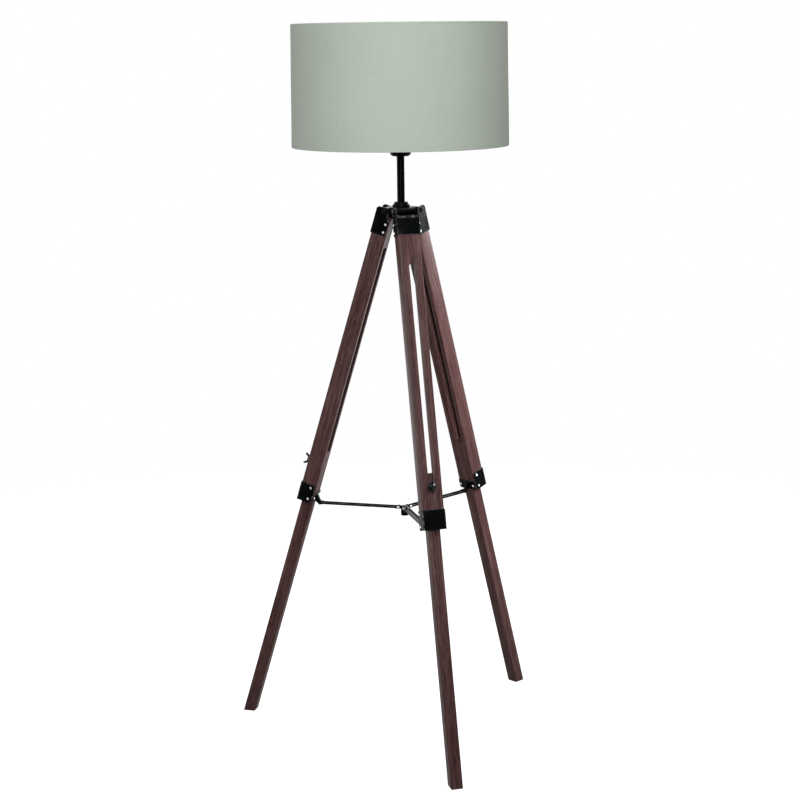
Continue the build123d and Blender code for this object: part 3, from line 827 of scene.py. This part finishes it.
def stem():
    """Stem with its collar, and the nipple, nut and gland that hold it on the hub."""
    radius, low, high = span("stem_tube")
    turned("stem_tube", rounded([
        (radius, low), (radius, high, 0.0006), (CABLE_BORE, high, 0.0004), (CABLE_BORE, low)]))
    radius, low, high = span("stem_collar")
    neck, bore, step = 0.0148, 0.0081, 0.006
    turned("stem_collar", rounded([
        (radius, low, 0.0004), (radius, low + step * 0.72, 0.0012),
        (radius - 0.0016, low + step, 0.0006), (neck, low + step, 0.0003),
        (neck, high - 0.0012, 0.0012), (neck - 0.0028, high, 0.0008), (bore, high, 0.0003),
        (bore, low)]))
    radius, low, high = span("stem_nipple")
    bore = radius + HAIR / 4
    rows = np.arange(low, high, STEM_THREAD / 5)
    outside = [(radius, z) for z in rows] + [(radius - THREAD_DEPTH, high)]
    turned("stem_nipple", outside + [(NIPPLE_BORE, high), (NIPPLE_BORE, low)],
           thread(STEM_THREAD, THREAD_DEPTH, low, high), FINE_TURN)
    radius, low, high = span("stem_lock_nut")
    turned("stem_lock_nut", nut_profile(radius, bore, high - low, low), hex_sides(radius))
    radius, low, high = span("cable_gland")
    ribs = 24

    def fluted(radii, angles, heights):
        grip = (radii > radius - 0.0001) & (heights > low + 0.003)
        return radii - grip * 0.0003 * (1 + np.cos(ribs * angles)), angles, heights

    turned("cable_gland", rounded([
        (0.0032, low, 0.0015), (radius - 0.0015, low, 0.0015), (radius, low + 0.004),
        (radius, high - 0.0006), (radius - 0.0006, high), (CABLE_BORE, high),
        (CABLE_BORE, high - 0.0055), (0.0032, high - 0.006)]), fluted)


# ---------------------------------------------------------------- lampholder
def lampholder():
    """Dished plate, shell, ceramic block, contact, screw sleeve and clamp ring."""
    radius, low, high = span("holder_plate")
    turned("holder_plate", rounded([
        (CABLE_BORE, low), (radius - 0.0042, low, 0.003), (radius - 0.0004, high - 0.003, 0.0015),
        (radius, high, 0.0007), (radius - 0.002, high), (CABLE_BORE, high)]))

    radius, low, high = span("holder_shell")
    ring_low = span("shade_ring")[1]
    neck, wall = radius - 0.002, 0.0025
    step = span("shade_fitter")[2] - FITTER_T
    rows = np.arange(step + 0.002, high - 0.002, 0.0004)
    ribs, rib_depth = 30, 0.00045
    pitch, screw_depth = 0.0024, 0.00035

    def shell_warp(radii, angles, heights):
        outside = radii > neck - HAIR
        threaded = outside & (heights > ring_low)
        turn = 2 * math.pi * heights / pitch - angles
        gripped = (heights > low + 0.006) & (heights < step - 0.004)
        ribbed = outside & gripped & (radii > neck + HAIR)
        screw_cut = threaded * screw_depth * (1 - np.cos(turn))
        rib_cut = ribbed * rib_depth * (1 - np.cos(ribs * angles))
        return radii - (screw_cut + rib_cut), angles, heights

    body = np.arange(low + 0.004, step - 0.001, 0.0015)
    turned("holder_shell", [
        (CABLE_BORE, low), (radius - 0.001, low), (radius, low + 0.001),
        *[(radius, z) for z in body], (radius, step - 0.0006), (radius - 0.0006, step),
        (neck, step), *[(neck, z) for z in rows],
        (neck - 0.0006, high), (neck - wall, high), (neck - wall, low + 0.004),
        (CABLE_BORE, low + 0.004)], shell_warp, np.linspace(0, 2 * math.pi, 240, endpoint=False))

    radius, low, high = span("holder_insert")
    turned("holder_insert", rounded([
        (0.0, low), (radius, low, 0.0004), (radius, high, 0.0008), (0.006, high, 0.0008),
        (0.006, high - 0.004), (0.0, high - 0.004)]), closed=False)
    radius, low, high = span("holder_contact")
    turned("holder_contact", rounded([
        (0.0, low), (radius, low, 0.0002), (radius, low + 0.0006, 0.0002),
        (0.0028, low + 0.0012, 0.0006), (0.0020, high - 0.0002, 0.0004), (0.0, high)]),
        closed=False)

    radius, low, high = span("holder_sleeve")
    bore, wall, pitch = 0.0133, 0.0006, 0.0036
    rows = np.arange(low, high - 0.002, pitch / 12)

    def knuckle(radii, angles, heights):
        inside = radii < bore + wall + HAIR
        share = np.clip((high - 0.0022 - heights) / pitch, 0, 1) * inside
        wave = share * wall * np.cos(2 * math.pi * heights / pitch - angles)
        return radii + wave, angles, heights

    turned("holder_sleeve", [
        *[(bore, z) for z in rows], (bore, high), (radius, high), (radius, high - 0.0008),
        (bore + wall, high - 0.0012), *[(bore + wall, z) for z in rows[::-1]]], knuckle)

    radius, low, high = span("shade_ring")
    ribs = 48

    def milled(radii, angles, heights):
        edge = radii > radius - 0.0005
        return radii - edge * 0.0003 * (1 + np.cos(ribs * angles)), angles, heights

    turned("shade_ring", rounded([
        (SHELL_NECK_BORE, low), (radius, low, 0.0006), (radius, high - 0.0004, 0.0008),
        (radius - 0.0012, high, 0.0004), (SHELL_NECK_BORE, high)]), milled,
        np.linspace(0, 2 * math.pi, 288, endpoint=False))


# ---------------------------------------------------------------- shade
def shade_line(inset, hem):
    """Middle line of a skin this far under the shade's surface, with hems if asked."""
    _, bottom, top = span("shade_fabric")
    wide, narrow = rim_radius("shade_fabric", False), rim_radius("shade_fabric", True)
    if not hem:
        return [(wide - inset, bottom + 0.0012), (narrow - inset, top - 0.0012)]
    lines = []
    for edge, radius, way in ((bottom, wide, 1), (top, narrow, -1)):
        tucked = radius - 0.0021
        inner = radius - 2 * WIRE_R - FABRIC_T - LINER_T - 0.0006
        lines.append([
            (tucked, edge + way * HEM_DEPTH), (tucked, edge + way * 0.0072, 0.0012),
            (inner, edge + way * 0.0052, 0.0014), (inner, edge + way * HEM_LAP, 0.0020),
            (radius - inset, edge + way * HEM_LAP, 0.0009),
            (radius - inset, edge + way * 0.0046, 0.0004),
            (radius - inset - 0.00025, edge + way * 0.0056, 0.0004),
            (radius - inset, edge + way * 0.0066, 0.0004)])
    return lines[0] + lines[1][::-1]


def seam_angles():
    """Angles round the drum, closer together at the seam, and the angle that the seam takes up."""
    width = SEAM_WIDTH / rim_radius("shade_fabric", False)
    near = [SEAM_ANGLE + side + step
            for side in (0.0, width) for step in (-SEAM_EASE, 0.0, SEAM_EASE)]
    far = [a for a in np.linspace(0, 2 * math.pi, 256, endpoint=False)
           if not SEAM_ANGLE - 2 * SEAM_EASE < a < SEAM_ANGLE + width + 2 * SEAM_EASE]
    return np.array(sorted(near + far)), width


def shade():
    """Fabric with its turned-in edges and lapped seam, liner and wire rings."""
    angles, seam = seam_angles()
    wide, narrow = rim_radius("shade_fabric", False), rim_radius("shade_fabric", True)
    _, bottom, top = span("shade_fabric")

    def lapped(radii, turn, heights):
        share = np.clip((turn - SEAM_ANGLE) / SEAM_EASE, 0, 1)
        share = share * np.clip((SEAM_ANGLE + seam - turn) / SEAM_EASE, 0, 1)
        surface = wide + (narrow - wide) * (heights - bottom) / (top - bottom)
        outer = radii > surface - 1.5 * FABRIC_T
        slack = 0.00010 * np.sin(5 * turn + 40 * heights)
        slack = slack + 0.00008 * np.sin(11 * turn - 25 * heights)
        return radii + outer * (share * SEAM_STEP + slack), turn, heights

    line = rounded(shade_line(FABRIC_T / 2, True), 5)
    long_run = np.argmax(np.linalg.norm(np.diff(line, axis=0), axis=1))
    wall = np.linspace(line[long_run], line[long_run + 1], 14)[1:-1]
    line = np.concatenate([line[:long_run + 1], wall, line[long_run + 1:]])
    fabric = show("shade_fabric", bm_of(spin(thickened(line, FABRIC_T), lapped, angles)))

    inset = FABRIC_T + LINER_T / 2 + HAIR
    skin = thickened(np.array(shade_line(inset, False)), LINER_T)
    show("shade_liner", bm_of(spin(skin, angles=angles)))
    for name in ("shade_top_wire", "shade_bottom_wire"):
        radius, low, high = span(name)
        ring = [(radius - WIRE_R + WIRE_R * math.cos(a), (low + high) / 2 + WIRE_R * math.sin(a))
                for a in FINE_TURN[::3]]
        turned(name, ring, angles=angles)


def shade_fitter():
    """Flat ring on the lampholder and the three spokes that carry the bottom wire."""
    radius, high = 0.025, span("shade_fitter")[2]
    low = high - FITTER_T
    shapes = [spin(rounded([
        (SHELL_NECK_BORE, low, 0.0003), (radius, low, 0.0005), (radius, high, 0.0005),
        (SHELL_NECK_BORE, high, 0.0003)]))]
    wire_radius, wire_low, wire_high = span("shade_bottom_wire")
    wire_z = (wire_low + wire_high) / 2
    reach = wire_radius - 2 * WIRE_R - HAIR
    under = low - SPOKE_R + HAIR
    for leg in LEGS:
        run = [(-0.020, under), (-0.027, under), (-0.031, under - 0.0003), (-0.036, under - 0.0010),
               (0.012 - reach, wire_z + 0.0012), (0.006 - reach, wire_z + 0.0003), (-reach, wire_z)]
        bar = [(0.0, y, z) for y, z in run]
        shapes.append(moved(tube_along(bar, SPOKE_R), radial_place(leg)))
    show("shade_fitter", bm_of(*shapes))


# ---------------------------------------------------------------- studio
def area_light(name, size, watts, position, target):
    """Soft rectangular light."""
    data = bpy.data.lights.new(name, "AREA")
    data.shape = "RECTANGLE"
    data.size, data.size_y = size
    data.energy = watts
    lamp = bpy.data.objects.new(name, data)
    bpy.context.scene.collection.objects.link(lamp)
    lamp.location = position
    lamp.rotation_euler = (Vector(target) - Vector(position)).to_track_quat("-Z", "Y").to_euler()
    lamp.visible_camera = False
    return lamp


def studio_floor():
    """Pale round floor that fades out into the white surroundings."""
    material, tree, surface = shader("floor", Roughness=0.6, Specular_IOR_Level=0.1,
                                     Emission_Color=(1, 1, 1, 1))
    point = object_point(tree)
    tone = noise(tree, point, 30, 3)
    colour = ramp(tree, tone, (0.3, (0.50, 0.50, 0.50)), (0.7, (0.54, 0.54, 0.54)))
    shine = calc(tree, "MULTIPLY", node(tree, "LightPath").outputs["Is Camera Ray"], 0.9)
    join(tree, surface, Base_Color=colour, Emission_Strength=shine)
    reach = node(tree, "VectorMath", {0: point}, operation="LENGTH").outputs["Value"]
    fade = between(tree, reach, 1.1, 2.6)
    clear = node(tree, "BsdfTransparent")
    blend = node(tree, "MixShader", {0: fade, 1: surface.outputs[0], 2: clear.outputs[0]})
    tree.links.new(blend.outputs[0], tree.nodes["Material Output"].inputs[0])
    rows = np.linspace(0, 3.0, 13)
    bm = bm_of(spin([(r, -HAIR) for r in rows], closed=False))
    mesh = bpy.data.meshes.new("studio_floor")
    bm.to_mesh(mesh)
    bm.free()
    mesh.materials.append(material)
    floor = bpy.data.objects.new("studio_floor", mesh)
    bpy.context.scene.collection.objects.link(floor)


def studio_light():
    """White surroundings, brighter behind the lamp than in front, a softbox overhead, a front key,
    and a light on either side for the legs, which are returned."""
    scene = bpy.context.scene
    scene.view_settings.view_transform = "Standard"
    world = bpy.data.worlds.new("studio")
    world.use_nodes = True
    scene.world = world
    tree = world.node_tree
    path = node(tree, "LightPath").outputs
    way = node(tree, "SeparateXYZ", {0: node(tree, "TexCoord").outputs["Generated"]}).outputs
    sweep = between(tree, way[1], -0.15, 0.45, 0.04, 1.3)
    fill = between(tree, way[1], -0.15, 0.45, 0.12, 0.5)
    extra = calc(tree, "SUBTRACT", sweep, fill)
    strength = calc(tree, "MULTIPLY_ADD", extra, path["Is Glossy Ray"], fill)
    strength = calc(tree, "MAXIMUM", strength, path["Is Camera Ray"])
    background = tree.nodes["Background"]
    background.inputs[0].default_value = (1, 1, 1, 1)
    tree.links.new(strength, background.inputs[1])
    area_light("overhead", (2.4, 2.4), 42, (0, 0, 3.1), (0, 0, 0))
    area_light("front", (1.5, 1.2), 78, (-0.75, -2.85, 2.15), (0, 0, 1.15))
    return (area_light("right_leg_light", (0.5, 0.6), 92, (1.35, -0.15, 1.4), (0, 0, 0.95)),
            area_light("left_leg_light", (0.5, 0.6), 15, (-1.5, -0.5, 1.3), (0, 0, 0.8)))


def light_legs_only(lights):
    """Lets these lights fall on the legs and the spreader, and on nothing else."""
    pieces = bpy.data.collections.new("leg_pieces")
    for piece in bpy.context.scene.objects:
        if piece.name.startswith(("leg_", "spreader")) and piece.name.endswith("_detail"):
            pieces.objects.link(piece)
    for light in lights:
        light.light_linking.receiver_collection = pieces


def camera():
    """Camera at the photograph's viewing angle, turned a little about its own axis."""
    position = Vector((-CAMERA_DISTANCE * math.sin(CAMERA_AZIMUTH),
                       -CAMERA_DISTANCE * math.cos(CAMERA_AZIMUTH), CAMERA_HEIGHT))
    heading = CAMERA_AZIMUTH - CAMERA_YAW
    forward = Vector((math.sin(heading) * math.cos(CAMERA_PITCH),
                      math.cos(heading) * math.cos(CAMERA_PITCH), -math.sin(CAMERA_PITCH)))
    right = forward.cross(Vector((0, 0, 1))).normalized()
    up = right.cross(forward)
    turned_right = right * math.cos(CAMERA_ROLL) + up * math.sin(CAMERA_ROLL)
    turned_up = up * math.cos(CAMERA_ROLL) - right * math.sin(CAMERA_ROLL)
    data = bpy.data.cameras.new("camera")
    data.lens = CAMERA_LENS
    data.sensor_width = 36.0
    view = bpy.data.objects.new("camera", data)
    bpy.context.scene.collection.objects.link(view)
    view.matrix_world = matrix_of(turned_right, turned_up, -forward, position)
    bpy.context.scene.camera = view


camera()
leg_lights = studio_light()
studio_floor()
for leg_number in LEGS:
    upper_leg(leg_number)
    lower_leg(leg_number)
    leg_brackets(leg_number)
    leg_screws(leg_number)
    clamp_stud(leg_number)
    wing_nut(leg_number)
    lug_pin(leg_number)
spreader()
hub()
stem()
lampholder()
shade()
shade_fitter()
light_legs_only(leg_lights)
